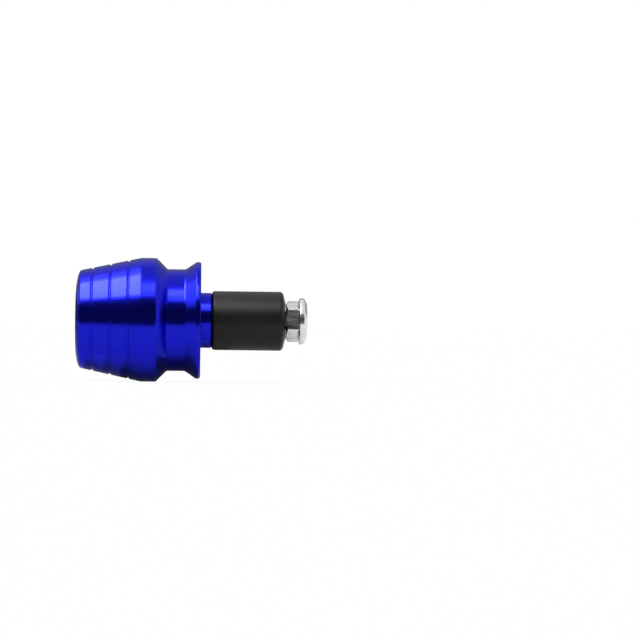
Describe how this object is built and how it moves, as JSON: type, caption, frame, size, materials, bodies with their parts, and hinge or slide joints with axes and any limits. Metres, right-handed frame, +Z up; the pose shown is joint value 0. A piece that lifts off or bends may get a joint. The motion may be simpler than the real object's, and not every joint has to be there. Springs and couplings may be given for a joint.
{
  "type": "bar end weight",
  "caption": "Turned and grooved handlebar end weight with a long clamp screw that draws a flanged nut into a rubber expander bush.",
  "frame": {"origin": "centre of the flat seat that meets the end of the handlebar, on the bar's axis", "axes": "+X along the bar's axis into the handlebar, towards the nut; -X out of the bar, towards the outer face; +Z up"},
  "size_m": [0.0653, 0.035, 0.035],
  "materials": {
    "anodised_body": "polished, dyed deep blue by anodising",
    "screw_steel": "bright zinc plated",
    "black_rubber": "moulded, smooth matt",
    "nut_zinc": "bright zinc plated"
  },
  "bodies": {
    "weight": {"weight_body": "anodised_body", "rubber_bush": "black_rubber"},
    "screw": {"clamp_screw": "screw_steel"},
    "nut": {"expander_nut": "nut_zinc"}
  },
  "joints": [
    {"name": "screw_turn", "type": "hinge", "parent": "weight", "child": "screw", "pos_m": [0, 0, 0], "axis": [1, 0, 0], "range_deg": [0, 1188]},
    {"name": "nut_draw", "type": "slide", "parent": "weight", "child": "nut", "axis": [-1, 0, 0], "range_m": [0, 0.0033]}
  ],
  "couplings": [
    {"joint": "screw_turn", "follows": "nut_draw", "rad_per_m": 6283.2}
  ]
}
